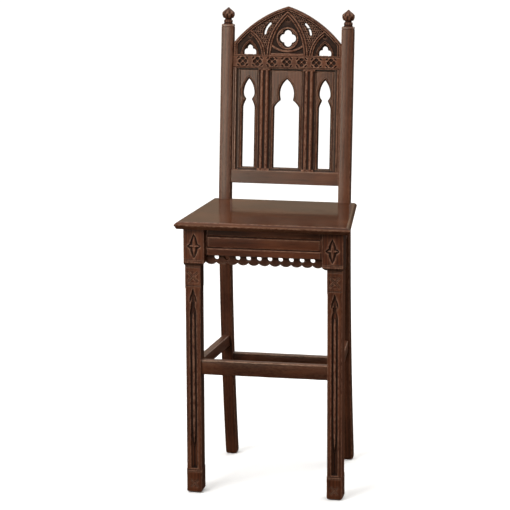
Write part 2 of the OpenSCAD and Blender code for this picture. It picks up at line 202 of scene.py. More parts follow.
def finish_piece(name, node, verts, faces, grain, glaze_and_shade, wear_and_highlight, wood, crisp=38):
    """Makes the object, with its grain coordinates and two colour masks as attributes: one darkens for
    glazing and painted shade, one lightens for rubbing and painted highlight.
    """
    slot, material = wood
    mesh = bpy.data.meshes.new(name)
    mesh.from_pydata((np.asarray(verts, float) * MM).tolist(), [], faces)
    mesh.polygons.foreach_set("use_smooth", [True] * len(mesh.polygons))
    mesh.set_sharp_from_angle(angle=radians(crisp))
    attribute = mesh.attributes.new("grain", "FLOAT_VECTOR", "POINT")
    attribute.data.foreach_set("vector", (np.asarray(grain, float) * MM).astype(np.float32).ravel())
    for key, values in (("glaze_and_shade", glaze_and_shade), ("wear_and_highlight", wear_and_highlight)):
        layer = mesh.attributes.new(key, "FLOAT", "POINT")
        layer.data.foreach_set("value", unit(values).astype(np.float32))
    mesh.materials.append(material)
    piece = new_object(name, mesh)
    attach(piece, BODY)
    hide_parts(node)


LOG_STEP = np.array([137.0, 71.0, 911.0])


def grain_of(points, along, seed):
    """Turns a piece's own coordinates so that the grain runs along z, from its own bit of log."""
    order = {"x": (1, 2, 0), "z": (0, 1, 2)}[along]
    return points[:, order] + LOG_STEP * (1 + seed)


def grid(low, high, step, edge=0.0, fine=0.7):
    """Grid lines from low to high. With an edge, the lines are fine that far in from both ends."""
    if not edge:
        return np.linspace(low - step, high + step, int(round((high - low) / step)) + 3)
    ends = np.arange(-fine, edge, fine)
    middle = np.linspace(edge, high - low - edge, int(round((high - low - 2 * edge) / step)) + 1)
    return low + np.concatenate([ends, middle, high - low - ends[::-1]])


ALL, BEFORE, AFTER = slice(None), slice(0, -1), slice(1, None)


def cut_grid(gu, gv, f):
    """Cuts a grid of cells along f = 0 into points, faces and the rim's edges."""
    solid = f < 0
    index = np.full(f.shape, -1)
    index[solid] = np.arange(solid.sum())
    pu, pv = [gu[solid]], [gv[solid]]
    count = int(solid.sum())
    cuts = []
    for near, far in (((ALL, BEFORE), (ALL, AFTER)), ((BEFORE, ALL), (AFTER, ALL))):
        a, b = f[near], f[far]
        crossing = (a < 0) != (b < 0)
        t = np.clip(a / where(a == b, 1, a - b), 0.06, 0.94)
        ids = np.full(a.shape, -1)
        ids[crossing] = count + np.arange(crossing.sum())
        count += int(crossing.sum())
        pu.append((gu[near] + t * (gu[far] - gu[near]))[crossing])
        pv.append((gv[near] + t * (gv[far] - gv[near]))[crossing])
        cuts.append(ids)
    faces, rim = cells(index, *cuts)
    return np.concatenate(pu), np.concatenate(pv), faces, rim


def cells(index, hcut, vcut):
    """Faces of the cells with a corner inside, and the edges where the outline crosses them."""
    corners = [index[:-1, :-1], index[:-1, 1:], index[1:, 1:], index[1:, :-1]]
    inside = np.stack([k >= 0 for k in corners])
    whole = inside.all(0)
    faces = np.stack([k[whole] for k in corners], 1).tolist()
    rim = []
    for j, i in zip(*np.nonzero(inside.any(0) & ~whole)):
        corner = [int(k[j, i]) for k in corners]
        edge = [int(k) for k in (hcut[j, i], vcut[j, i + 1], hcut[j + 1, i], vcut[j, i])]
        ring = []
        for k in range(4):
            ring += [corner[k]] * (corner[k] >= 0) + [edge[k]] * (edge[k] >= 0)
            if edge[k] >= 0 and corner[k] >= 0:
                after = next(m % 4 for m in range(k + 1, k + 5) if edge[m % 4] >= 0)
                rim.append((edge[k], edge[after]))
        faces.append(ring)
    return faces, rim


def walled(top, under, faces, rim, loops):
    """Joins the front and the back by a wall along the rim, with a row of points at each loop."""
    n = len(top)
    rim_ids = sorted({a for pair in rim for a in pair})
    extra = [top[rim_ids] * (1 - t) + under[rim_ids] * t for t in loops]
    starts = [2 * n + k * len(rim_ids) for k in range(len(loops))]
    chain = [{r: r for r in rim_ids}]
    chain += [{r: start + q for q, r in enumerate(rim_ids)} for start in starts]
    chain += [{r: r + n for r in rim_ids}]
    polys = [q[::-1] for q in faces] + [[k + n for k in q] for q in faces]
    for a, b in rim:
        polys += [[up[a], up[b], down[b], down[a]] for up, down in zip(chain, chain[1:])]
    return np.concatenate([top, under, *extra]), polys


def glaze_shade_wear_highlight(depth, f, step, rubbed, ground):
    """Dark glazing and painted shade gather where the front is lower than its surroundings, and rubbing and
    painted highlight where it is higher.
    """
    weight = (f < 0).astype(float)
    fine = depth - blurred(depth, weight, 1.3 / step)
    broad = depth - blurred(depth, weight, 4.0 / step)
    # low is darkening by glazing and painted shade; high and arris are lightening by rubbing and painted
    # highlight.
    low = unit(fine * 1.7) + unit(broad * 0.6) + 0.65 * ramp((depth - ground) / 0.8)
    high = unit(-fine * 1.9) + np.clip(-broad * 0.35, 0, 0.6)
    arris = rubbed * ramp((f + 2.6) / 1.6)
    return low * (1 - arris), most(high, arris), arris


def nearest(p, line):
    """Number of the grid line that lies nearest to each coordinate."""
    return np.rint(np.interp(p, line, np.arange(len(line)))).astype(int)


def slab_mesh(us, vs, w0, w1, shape, loops=(0.08, 0.92), rubbed=0.0, ground=99.0):
    """A board in its own u, v, w frame: w0 is the front and w1 the back. shape is its outline, below 0
    inside the wood, then the depths of its front and back; back may be None. rubbed says how far the
    arrises are lightened by rubbing and painted highlight; glazing with painted shade settles below the
    depth called ground."""
    outline, front, back = shape
    gu, gv = np.meshgrid(us, vs)
    f = outline(gu, gv)
    pu, pv, faces, rim = cut_grid(gu, gv, f)
    top = np.stack([pu, pv, w0 + front(pu, pv)], 1)
    under = np.stack([pu, pv, w1 - (back(pu, pv) if back else 0 * pu)], 1)
    points, polys = walled(top, under, faces, rim, loops)
    n, mid = len(top), len(us) // 2
    depth = where(f < 0, front(gu, gv), 0)
    low, high, arris = glaze_shade_wear_highlight(depth, f, us[mid] - us[mid - 1], rubbed, ground)
    near = (nearest(pv, vs), nearest(pu, us))
    # The front takes the glazing with painted shade and the rubbing with painted highlight; the back takes
    # the lightened arris.
    glaze_and_shade, wear_and_highlight = np.zeros(len(points)), np.zeros(len(points))
    glaze_and_shade[:n], wear_and_highlight[:n] = low[near], high[near]
    wear_and_highlight[n:2 * n] = arris[near]
    return points, polys, glaze_and_shade, wear_and_highlight


def board(name, node, box, steps, shape, along, seed, wood, leaning=True, **finish):
    """A carved board that stands upright between its CAD node's front and back: u is x and v is z.
    box is x0, x1, z0 and z1. A plain rectangle has None for its outline."""
    low, high = lean_span(node) if leaning else span(node)
    us, vs = grid(box[0], box[1], steps[0]), grid(box[2], box[3], steps[1])
    shape = shape[0] or oblong(*box), *shape[1:]
    points, faces, glaze_and_shade, wear_and_highlight = slab_mesh(us, vs, low[1], high[1], shape, **finish)
    local = points[:, [0, 2, 1]]
    place = leaned(local) if leaning else local
    faces = [q[::-1] for q in faces]
    finish_piece(name, node, place, faces, grain_of(local, along, seed), glaze_and_shade, wear_and_highlight, wood)


def softened(d, r):
    """Depth of a rounded arris at distance d inside an edge."""
    t = unit(1 - d / r)
    return r * (1 - np.sqrt(1 - t * t))


def wobble(a, b, scale, seed):
    """Smooth unevenness of hand-planed wood, from -1 to 1."""
    p = seed * 1.7
    return (np.sin(a / scale + p) * np.sin(b / (scale * 2.3) + 2 * p)
            + 0.6 * np.sin(a / (scale * 0.43) + 3 * p) * np.sin(b / scale + p)) / 1.6


def tube(rings, around):
    """Faces of a closed tube of rings, with a cap at each end."""
    faces = []
    for j in range(rings - 1):
        for k in range(around):
            a, b = j * around + k, j * around + (k + 1) % around
            faces.append([a, b, b + around, a + around])
    faces.append(list(range(around - 1, -1, -1)))
    faces.append([(rings - 1) * around + k for k in range(around)])
    return faces


def swept(name, node, rings, seed, worn_and_lit=1.0):
    """A rail or post through rings: each is (centre, across, deep, half width, half depth, arris)."""
    steps, ease = 4, 0.12
    verts, grain, wear_and_highlight = [], [], []
    length = 0.0
    for k, (centre, across, deep, hw, hd, arris) in enumerate(rings):
        if k:
            length += float(np.linalg.norm(centre - rings[k - 1][0]))
        for corner, (sx, sy) in enumerate(((1, 1), (-1, 1), (-1, -1), (1, -1))):
            for s in range(steps):
                a = radians(90 * corner + 90 * s / (steps - 1))
                x = sx * (hw - arris) + arris * cos(a)
                y = sy * (hd - arris) + arris * sin(a)
                edge = 1 - abs(2 * s / (steps - 1) - 1)
                dent = ease * sin(length / 23 + corner * 2 + seed) * sin(length / 61 + seed)
                x -= sx * (ease + dent) * (edge > 0)
                verts.append(centre + np.multiply(across, x) + np.multiply(deep, y))
                grain.append((x, y, length))
                # Rounded arrises lighten: partly real rubbing, partly painted highlight.
                wear_and_highlight.append(worn_and_lit * (0.15 + 0.85 * (edge > 0.2)))
    faces = tube(len(rings), 4 * steps)
    forward = rings[-1][0] - rings[0][0]
    if np.dot(np.cross(rings[0][1], rings[0][2]), forward) < 0:
        faces = [q[::-1] for q in faces]
    log = grain_of(np.array(grain), "z", seed)
    finish_piece(name, node, verts, faces, log, [0.0] * len(verts), wear_and_highlight, FRAME_WOOD, crisp=50)


# ----- materials -----

class Nodes:
    """Adds nodes to one material and links them."""

    def __init__(self, name):
        self.material = bpy.data.materials.new(name)
        self.material.use_nodes = True
        self.tree = self.material.node_tree
        self.tree.nodes.clear()

    def add(self, kind, **inputs):
        """Adds a node and sets or links its sockets. An underscore stands for a space in a name."""
        node = self.tree.nodes.new("ShaderNode" + kind)
        for name, value in inputs.items():
            self.link(value, node.inputs[name.replace("_", " ")])
        return node

    def link(self, value, socket):
        if isinstance(value, bpy.types.NodeSocket):
            self.tree.links.new(value, socket)
        elif value is not None:
            socket.default_value = value

    def math(self, operation, a, b, clamp=False):
        node = self.add("Math")
        node.operation = operation
        node.use_clamp = clamp
        self.link(a, node.inputs[0])
        self.link(b, node.inputs[1])
        return node.outputs[0]

    def attribute(self, name, out="Fac"):
        node = self.add("Attribute")
        node.attribute_name = name
        return node.outputs[out]

    def object_place(self):
        return self.add("TexCoord").outputs["Object"]

    def stretched(self, vector, scale):
        return self.add("Mapping", Vector=vector, Scale=scale).outputs[0]

    def noise(self, vector, scale, detail=3.0, rough=0.55, distortion=0.0):
        place = self.stretched(vector, scale)
        node = self.add("TexNoise", Vector=place, Scale=1.0, Detail=detail, Roughness=rough)
        node.inputs["Distortion"].default_value = distortion
        return node.outputs[0]

    def wave(self, vector, scale, distortion, detail_scale):
        place = self.stretched(vector, scale)
        node = self.add("TexWave", Vector=place, Scale=1.0, Distortion=distortion, Detail=2.0)
        node.inputs["Detail Scale"].default_value = detail_scale
        node.bands_direction = "X"
        return node.outputs["Fac"]

    def spread(self, value, low, high, to_low=0.0, to_high=1.0):
        node = self.add("MapRange", Value=value, From_Min=low, From_Max=high, To_Min=to_low, To_Max=to_high)
        return node.outputs[0]

    def mix(self, fac, a, b):
        node = self.add("Mix")
        node.data_type = "RGBA"
        for value, socket in zip((fac, a, b), (0, 6, 7)):
            self.link(value, node.inputs[socket])
        return node.outputs[2]

    def bump(self, height, strength, distance, normal=None):
        node = self.add("Bump", Strength=strength, Distance=distance, Height=height, Normal=normal)
        return node.outputs[0]

    def shader(self, colour, roughness, normal, **constants):
        node = self.add("BsdfPrincipled", Base_Color=colour, Roughness=roughness, Normal=normal, **constants)
        self.add("OutputMaterial", Surface=node.outputs[0])
        return self.material


def rgba(r, g, b):
    return (r, g, b, 1.0)


# Near-black brown for the filled pores, and for the painted shade that darkens hollows along with the
# glazing.
GLAZE_AND_SHADE = rgba(0.010, 0.0045, 0.0035)


def stained_wood(name, dark, mid, light, worn_and_lit, gloss, planing=0.35, sheen=0.24):
    """Dark stained and varnished hardwood. The grain runs along z of the grain attribute."""
    n = Nodes(name)
    place = n.attribute("grain", "Vector")
    slow = n.noise(place, (26, 26, 3), 3.0, 0.6, 0.4)
    rings = n.wave(place, (34, 22, 1.3), 5.5, 1.2)
    streaks = n.noise(place, (330, 330, 9), 4.0, 0.65)
    pores = n.spread(n.noise(place, (1500, 1500, 45), 2.0, 0.5), 0.58, 0.70)
    patches = n.noise(place, (9, 9, 5), 2.0, 0.5)
    figure = n.math("ADD", n.math("MULTIPLY", slow, 0.5), n.math("MULTIPLY", rings, 0.22))
    figure = n.math("ADD", figure, n.math("MULTIPLY", streaks, 0.42))
    colour = n.mix(n.spread(figure, 0.42, 0.70), dark, mid)
    colour = n.mix(n.spread(patches, 0.46, 0.70, 0.0, 0.85), colour, light)
    bands = n.noise(place, (120, 120, 6), 3.0, 0.6, 0.5)
    colour = n.mix(n.spread(bands, 0.50, 0.68, 0.0, 0.55), colour, dark)
    colour = n.mix(n.math("MULTIPLY", pores, 0.6), colour, GLAZE_AND_SHADE)
    # Hollows and undersides darken towards this brown: partly real glazing, partly painted shade.
    glaze_and_shade = n.attribute("glaze_and_shade")
    broken = n.noise(place, (260, 260, 90), 3.0, 0.7)
    colour = n.mix(n.math("MULTIPLY", glaze_and_shade, n.spread(broken, 0.25, 0.6, 0.7, 1.0)), colour, GLAZE_AND_SHADE)
    # Ridges and arrises lighten towards the pale colour: partly real rubbing, partly painted highlight.
    rubbed = n.math("MULTIPLY", n.attribute("wear_and_highlight"), n.spread(broken, 0.36, 0.62), clamp=True)
    colour = n.mix(n.math("MULTIPLY", rubbed, 0.85), colour, worn_and_lit)
    rough = n.spread(streaks, 0.3, 0.7, gloss, gloss + 0.06)
    rough = n.math("ADD", rough, n.math("MULTIPLY", glaze_and_shade, 0.22))
    rough = n.math("ADD", rough, n.math("MULTIPLY", pores, 0.06), clamp=True)
    cut = n.bump(n.math("SUBTRACT", n.math("MULTIPLY", streaks, 0.5), pores), 0.25, 0.00012)
    planed = n.bump(n.noise(place, (38, 38, 14), 2.0, 0.4), planing, 0.0012, cut)
    return n.shader(colour, rough, planed, Specular_IOR_Level=sheen, Specular_Tint=rgba(1.0, 0.86, 0.70))


def plain_beech(name):
    """Unfinished beech of the hidden blocks, with short flecks along the grain."""
    n = Nodes(name)
    place = n.object_place()
    grain = n.noise(place, (300, 18, 300), 4.0, 0.6)
    fleck = n.spread(n.noise(place, (900, 160, 900), 1.0), 0.60, 0.68)
    colour = n.mix(n.spread(grain, 0.35, 0.7), rgba(0.20, 0.105, 0.05), rgba(0.33, 0.19, 0.10))
    colour = n.mix(n.math("MULTIPLY", fleck, 0.5), colour, rgba(0.12, 0.055, 0.025))
    rough = n.spread(grain, 0.3, 0.7, 0.55, 0.72)
    return n.shader(colour, rough, n.bump(grain, 0.3, 0.0003), Specular_IOR_Level=0.35)


def worn_metal(name, bright, dull, gloss):
    """Drawn steel with dull patches and fine turning marks."""
    n = Nodes(name)
    place = n.object_place()
    patch = n.noise(place, (260, 260, 260), 4.0, 0.6)
    marks = n.noise(place, (500, 500, 6000), 2.0)
    colour = n.mix(n.spread(patch, 0.42, 0.66), bright, dull)
    rough = n.math("ADD", n.spread(patch, 0.35, 0.7, gloss, gloss + 0.3), n.math("MULTIPLY", marks, 0.06))
    return n.shader(colour, rough, n.bump(marks, 0.25, 0.0001), Metallic=1.0)


def white_screen(name):
    """White screen that glows evenly."""
    n = Nodes(name)
    white = rgba(1.0, 1.0, 1.0)
    return n.shader(white, 1.0, None, Emission_Color=white, Emission_Strength=1.0)


def pale_floor(name):
    """Matt off-white floor with the faintest unevenness."""
    n = Nodes(name)
    tone = n.noise(n.object_place(), (3, 3, 3), 2.0)
    colour = n.mix(tone, rgba(0.90, 0.90, 0.90), rgba(0.93, 0.93, 0.93))
    return n.shader(colour, n.spread(tone, 0.3, 0.7, 0.86, 0.95), None, Specular_IOR_Level=0.1)


# Each wood is a name and its material.
CARVED = ("carved_walnut", stained_wood(
    "carved_wood", rgba(0.030, 0.0072, 0.0030), rgba(0.090, 0.0250, 0.0105),
    rgba(0.130, 0.0400, 0.0160), rgba(0.27, 0.140, 0.090), 0.44))
FRAME_WOOD = ("frame_walnut", stained_wood(
    "frame_wood", rgba(0.026, 0.0060, 0.0025), rgba(0.080, 0.0210, 0.0085),
    rgba(0.118, 0.0350, 0.0140), rgba(0.25, 0.130, 0.080), 0.32, 0.12, 0.55))
SEAT_WOOD = ("seat_walnut", stained_wood(
    "seat_wood", rgba(0.028, 0.0075, 0.0032), rgba(0.070, 0.0215, 0.0090),
    rgba(0.100, 0.0340, 0.0140), rgba(0.26, 0.140, 0.088), 0.07, 0.10))
BEECH = plain_beech("beech")
METAL = worn_metal("screw_steel", rgba(0.50, 0.48, 0.45), rgba(0.20, 0.17, 0.15), 0.28)
GLIDE_METAL = worn_metal("glide_steel", rgba(0.34, 0.31, 0.28), rgba(0.10, 0.07, 0.055), 0.35)


# ----- carved back -----

FRIEZE_LO, FRIEZE_HI = lean_span("frieze_rail")
RAIL_LO, RAIL_HI = lean_span("lower_back_rail")
CREST_Z0, APEX = FRIEZE_HI[2], lean_span("crest_panel")[1][2]
FRIEZE_Z = (FRIEZE_LO[2] + FRIEZE_HI[2]) / 2
FRIEZE_H = FRIEZE_HI[2] - FRIEZE_LO[2]
BAY_Z0, BAY_Z1 = RAIL_HI[2], FRIEZE_LO[2]
FINE = 0.8
ARCH_R, ARCH_END = 312.0, 432.0
MOULDING = 11.0
GROUND, FIELD, POCKET = 3.4, 4.6, 7.5
PUNCH_PITCH, PUNCH_DEEP = 6.2, 3.0
MID_HALF, MID_APEX, MID_RIB = 58.0, 524.0, 12.5
SIDE_X, SIDE_HALF, SIDE_APEX, SIDE_RIB = 103.0, 42.0, 470.0, 10.5
HOOD_HALF, HOOD_APEX, HOOD_RIB = 25.5, 443.0, 5.5
DOT_X, DOT_Z, DOT_R = 104.0, 454.0, 3.4
EYE_Z, EYE_REACH, EYE_LOBE, EYE_RING = 448.0, 11.5, 11.2, 30.7
BOW_Z, BOW_R = 480.0, 67.5
CLOVER_TOP, CLOVER_FOOT, CLOVER_R = 503.5, 497.6, 3.1
SLOT_X, SLOT_LIFT, SLOT_R, SLOT_HALF = 19.2, 6.2, 45.0, 3.2
BRIDGE_Z, BRIDGE_HALF = 475.7, 1.7
TREFOIL_X, TREFOIL_W = 105.0, 34.0
ROSETTE_PITCH = 41.25


def arch_distance(x, z):
    """Distance from the crest's pointed outline, below 0 inside."""
    rise = APEX - ARCH_END
    chord = hypot(INNER_X, rise)
    reach = sqrt(ARCH_R ** 2 - chord ** 2 / 4)
    cx = INNER_X / 2 - rise / chord * reach
    cz = (APEX + ARCH_END) / 2 - INNER_X / chord * reach
    return np.hypot(np.abs(x) - cx, z - cz) - ARCH_R


def trefoil_distance(x, z):
    """Three lobes standing on the frieze."""
    lobe = TREFOIL_W * 0.23
    base = CREST_Z0 + 1
    top = disc(x, z, 0, base + lobe * 2.3, lobe)
    sides = disc(np.abs(x), z, TREFOIL_W / 2 - lobe, base + lobe * 0.95, lobe)
    foot = rect(x, z, -TREFOIL_W / 2, TREFOIL_W / 2, base, base + lobe * 0.95)
    return least(top, sides, foot, rect(x, z, -lobe, lobe, base, base + lobe * 2))


def slot_distance(x, z):
    """Slender curved slots at both sides of the pierced eye; a bridge crosses the one on the left."""
    across, up = np.abs(x) - SLOT_X, z - EYE_Z - SLOT_LIFT
    angle = np.clip(np.arctan2(up, across), radians(8), radians(48))
    d = np.hypot(across - SLOT_R * np.cos(angle), up - SLOT_R * np.sin(angle)) - SLOT_HALF
    bridge = BRIDGE_HALF - np.abs(z - BRIDGE_Z)
    return where(x > 0, most(d, bridge), d)


def crest_openings(x, z):
    eye = lobes(x, z - EYE_Z, EYE_REACH, EYE_LOBE)
    return least(eye, trefoil_distance(np.abs(x) - TREFOIL_X, z), slot_distance(x, z))


def crest_outline(x, z):
    return most(arch_distance(x, z), np.abs(x) - INNER_X, CREST_Z0 - z, -crest_openings(x, z))


def rib(d, width, field, outside):
    """A raised moulding just inside d = 0, two beads with a groove between; field lies inside it."""
    middle = -d - width / 2
    crown = softened(width / 2 - np.abs(middle), width * 0.30)
    profile = crown + groove(middle, width * 0.17, 2.6)
    return where(d > 0, outside, where(d > -width, least(profile, field + 3), field))


def punched(x, z, pitch, deep):
    """Ground of small round punch marks in uneven rows, each with its burr standing round it."""
    row = np.floor(z / pitch)
    shift = 0.5 * (row % 2)
    column = np.floor(x / pitch - shift)
    ox = 0.16 * np.sin(column * 12.9 + row * 4.1)
    oz = 0.16 * np.sin(column * 7.3 + row * 9.7)
    r = np.hypot(x - (column + 0.5 + shift + ox) * pitch, z - (row + 0.5 + oz) * pitch)
    return deep * ramp(1.25 - r / (pitch * 0.36))


def side_lancets(x, z, ground):
    """The lancet over each trefoil, with a pointed hood round the opening and a dot above it."""
    ax = np.abs(x)
    hood = pointed(ax - TREFOIL_X, z, HOOD_HALF, CREST_Z0 - 4, HOOD_APEX)
    inner = rib(hood, HOOD_RIB, 6.5, 4.4 + 0 * x)
    inner = inner + 3.0 * ramp(1 - disc(ax, z, DOT_X, DOT_Z, DOT_R) / 1.2)
    side = where(ax > SIDE_X, -20, pointed(ax - SIDE_X, z, SIDE_HALF, CREST_Z0 - 6, SIDE_APEX))
    return rib(side, SIDE_RIB, inner, ground)


def middle_field(x, z):
    """Inside the middle lancet: a bow, a ring round the cusped eye, and a small clover over it."""
    bow = np.abs(np.hypot(x, z - BOW_Z) - BOW_R) - 2.0
    field = least(FIELD + 0 * x, 1.0 + 3.6 * ramp(bow / 1.4))
    field = least(field, 0.8 + 3.8 * ramp((z - CREST_Z0 - 4.5) / 1.5))
    radius = np.hypot(x, z - EYE_Z)
    ring = 1.2 + 3.4 * ramp((np.abs(radius - EYE_RING + 2.6) - 2.0) / 1.2)
    field = where(radius < EYE_RING + 1, ring, field)
    field = where(radius < EYE_RING - 4, 2.6, field)
    eye = lobes(x, z - EYE_Z, EYE_REACH, EYE_LOBE)
    field = most(field, POCKET * ramp((4.6 - eye) / 1.8))
    clover = disc(x, z, 0, CLOVER_TOP, CLOVER_R)
    clover = least(clover, disc(np.abs(x), z, 3.2, CLOVER_FOOT, CLOVER_R))
    return most(field, POCKET * ramp(0.6 - clover / 1.4))


def crest_front(x, z):
    """Depth of the crest's carving."""
    depth = side_lancets(x, z, GROUND + punched(x, z, PUNCH_PITCH, PUNCH_DEEP))
    middle = pointed(x, z, MID_HALF, CREST_Z0 - 1, MID_APEX)
    depth = rib(middle, MID_RIB, middle_field(x, z), depth)
    round_slot = 6.8 * ramp((3.4 - slot_distance(x, z)) / 2.4)
    depth = most(depth, where(middle > 0, round_slot, 0))
    arch = most(arch_distance(x, z), np.abs(x) - INNER_X + 1)
    edge = softened(-arch, 1.6) + groove(arch + 7.2, 1.5, 2.2) + softened(arch + MOULDING, 1.4)
    depth = where(arch > -MOULDING, edge, depth)
    return most(depth, 2.2 * ramp(1.1 - crest_openings(x, z) / 1.6)) + 0.15 * wobble(x, z, 31, 1)


def crest_panel():
    def back(x, z):
        return softened(-crest_outline(x, z), 1.4)

    box = -INNER_X, INNER_X, CREST_Z0, APEX
    shape = crest_outline, crest_front, back
    # Carving sunk deeper than 2.7 mm takes extra glazing and painted shade.
    board("carved_crest", "crest_panel", box, (FINE, FINE), shape, "x", 1, CARVED, ground=2.7)


def frieze_front(x, z):
    """Seven sunk flowers, with leaf notches round each, between thin borders."""
    t = z - FRIEZE_Z
    i = np.clip(np.rint(x / ROSETTE_PITCH), -3, 3)
    dx = x - i * ROSETTE_PITCH
    ax, at = np.abs(dx), np.abs(t)
    depth = groove(at - FRIEZE_H / 2 + 3.1, 1.0, 1.4)
    flower = lobes(dx, t, 6.6, 5.6)
    hollow = 5.0 * ramp(0.5 - flower / 1.8)
    web = least(stroke(ax, at, 2, 2, 7, 7) - 0.3, np.hypot(dx, t) - 1.7)
    hollow = least(hollow, 1.6 + 1.2 * ramp((np.hypot(dx, t) - 2.2) / 2) + 2.2 * ramp(web / 1.3))
    leaf = petal(*turned(ax - 12.0, at - 10.0, -48), 4.4, 1.9)
    depth = most(depth, 4.0 * ramp(0.6 - leaf / 1.1))
    depth = where(flower < 1, most(depth, hollow), depth)
    return depth + softened(FRIEZE_H / 2 - at, 1.2) + 0.12 * wobble(x, z, 27, 2)


def frieze_rail():
    def back(x, z):
        return softened(FRIEZE_H / 2 - np.abs(z - FRIEZE_Z), 1.5)

    box = -INNER_X, INNER_X, FRIEZE_LO[2], FRIEZE_HI[2]
    board("frieze", "frieze_rail", box, (0.62, 0.62), (None, frieze_front, back), "x", 2, CARVED)


def lower_back_rail():
    middle, half = (RAIL_LO[2] + RAIL_HI[2]) / 2, (RAIL_HI[2] - RAIL_LO[2]) / 2

    def face(x, z):
        return softened(half - np.abs(z - middle), 2.4) + 0.2 * wobble(x, z, 37, 3)

    box = -INNER_X, INNER_X, RAIL_LO[2], RAIL_HI[2]
    shape = None, face, face
    board("lower_rail", "lower_back_rail", box, (2.0, FINE), shape, "x", 3, FRAME_WOOD, rubbed=0.8)


# ----- panels, mullions and edge strips of the back -----

OPENING_Z0, OPENING_Z1, WAIST_Z = 91.0, 335.0, 279.5
SHOULDER_Z, HEAD_Z = WAIST_Z - 24, WAIST_Z + 16


def keyhole_distance(x, z, width, head, waist):
    """Pointed head over a waist, above a long light with sloping shoulders."""
    step = (head - waist) / 2
    under_r = (15 ** 2 + step ** 2) / (2 * step)
    under_h = sqrt(head * under_r - head ** 2 / 4)
    neck = waist / 2 - 0.4
    rise = unit((z - SHOULDER_Z) / 22)
    haunch = 0.8 * (np.abs(x) - neck - (width / 2 - neck) * (1 - rise ** 1.6))
    haunch = most(haunch, SHOULDER_Z - 1 - z, z - WAIST_Z + 2)
    light = rect(x, z, -width / 2, width / 2, OPENING_Z0, SHOULDER_Z)
    throat = rect(x, z, -waist / 2, waist / 2, WAIST_Z - 6, WAIST_Z + 6)
    top = most(pointed(x, z, head / 2, HEAD_Z, OPENING_Z1), HEAD_Z - z)
    under = pointed(x, 2 * HEAD_Z - z, head / 2, HEAD_Z, HEAD_Z + under_h)
    under = most(under, z - HEAD_Z - 1, HEAD_Z - 17 - z)
    return least(light, haunch, throat, top, under)


def splat(name, node, width, head, waist, seed):
    """A thin board with a keyhole light, chamfered round the light and grooved along its sides."""
    low, high = lean_span(node)
    middle, half = (low[0] + high[0]) / 2, (high[0] - low[0]) / 2
    box = low[0], high[0], low[2], high[2]

    def light(x, z):
        return keyhole_distance(x - middle, z, width, head, waist)

    def outline(x, z):
        return most(rect(x, z, *box), -light(x, z))

    def front(x, z):
        d = light(x, z)
        chamfer = 4.4 * unit(1 - d / 4.6)
        ends = most(z - BAY_Z1, BAY_Z0 - z) + 4
        side = groove(half - 8 - np.abs(x - middle), 1.2, 1.3) * (ends < 0)
        lines = most(groove(d - 6.2, 0.9, 0.8), side)
        # The ends sink 2.4 mm to take painted shade where the splat meets the rails.
        foot = 2.4 * ramp((ends + 2) / 1.5)
        return most(chamfer + lines, foot) + 0.2 * wobble(x, z, 41, seed)

    def back(x, z):
        return softened(light(x, z), 2.0) + 0.2 * wobble(x, z, 33, seed + 4)

    # Deeper than 1.2 mm, the chamfer round the light and the sunk ends take extra glazing and painted shade.
    board(name, node, box, (FINE, FINE), (outline, front, back), "z", seed, FRAME_WOOD, ground=1.2)


def mullion(side, seed):
    """Two beads between hollows, with a plain stop at each end."""
    node = "mullion_" + SIDES[side]
    low, high = lean_span(node)
    middle, half = (low[0] + high[0]) / 2, (high[0] - low[0]) / 2
    hollow_r, valley_r = 7.0, 4.5

    def front(x, z):
        d = np.abs(x - middle)
        hollow = circle(hollow_r, half - d) - 2
        valley = circle(valley_r, d) - 1
        bead = 0.9 * ((d - half * 0.42) / 2.7) ** 2
        depth = most(hollow, valley, np.clip(bead, 0, 1.2))
        stop = ramp((least(z - BAY_Z0, BAY_Z1 - z) - 3) / 5)
        return depth * stop + 1.0 * (1 - stop)

    def back(x, z):
        return softened(half - np.abs(x - middle), 1.6)

    box = low[0], high[0], BAY_Z0, BAY_Z1
    board("reeded_" + node, node, box, (FINE, 1.6), (None, front, back), "z", seed, CARVED)


def edge_strip(side, seed):
    """Slip between the outer panel and the post, hollowed on its inner edge and lined."""
    node = "edge_strip_" + SIDES[side]
    low, high = lean_span(node)
    hollow_r = 7.0

    def front(x, z):
        d = np.abs(x) - min(abs(low[0]), abs(high[0]))
        hollow = circle(hollow_r, d - 1) - 2.2
        return most(most(hollow, 0), groove(d - 12, 0.9, 1.3)) + 0.1 * wobble(x, z, 40, seed)

    box = low[0], high[0], BAY_Z0, BAY_Z1
    board("slip_" + SIDES[side], node, box, (FINE, 2.4), (None, front, None), "z", seed, FRAME_WOOD)


# ----- seat, front legs and aprons -----

leg_points = node_points("front_leg_left")
SHAFT = leg_points[leg_points[:, 2] < 500]
LEG_X = (SHAFT[:, 0].min() + SHAFT[:, 0].max()) / 2
LEG_HALF = (SHAFT[:, 0].max() - SHAFT[:, 0].min()) / 2
LEG_Y = SHAFT[:, 1].min()
BLOCK_OUT = LEG_Y - leg_points[:, 1].min()
BLOCK_Z, STAR_Z = 640.0, 693.0
FOOT_CUT, BLOCK_CUT = 4.0, 7.0
CROSS_Z, FOOT_CROSS_Z = 607.0, 27.0
# Lines cut across the leg and its block: height, half width and depth of each.
LEG_LINES = ((65, 1.1, 1.5), (60, 0.9, 1.1), (582, 1.0, 1.2), (634, 1.0, 1.2))
BLOCK_LINES = ((652, 0.9, 1.0), (656.5, 0.7, 0.7))
SCALLOP = 6.5
NOSE_Y = SEAT_LO[1]
SEAT_BACK_HALF = 202.5
SEAT_HALF = SEAT_HI[0]
BEVEL_W, BEVEL_DROP = 8.2, 7.2
UNDERCUT_W, UNDERCUT = 5.4, 11.2


def seat_half(y):
    """Half width of the seat's outline at depth y."""
    t = (y - NOSE_Y) / (SEAT_HI[1] - NOSE_Y)
    return SEAT_HALF + (SEAT_BACK_HALF - SEAT_HALF) * t


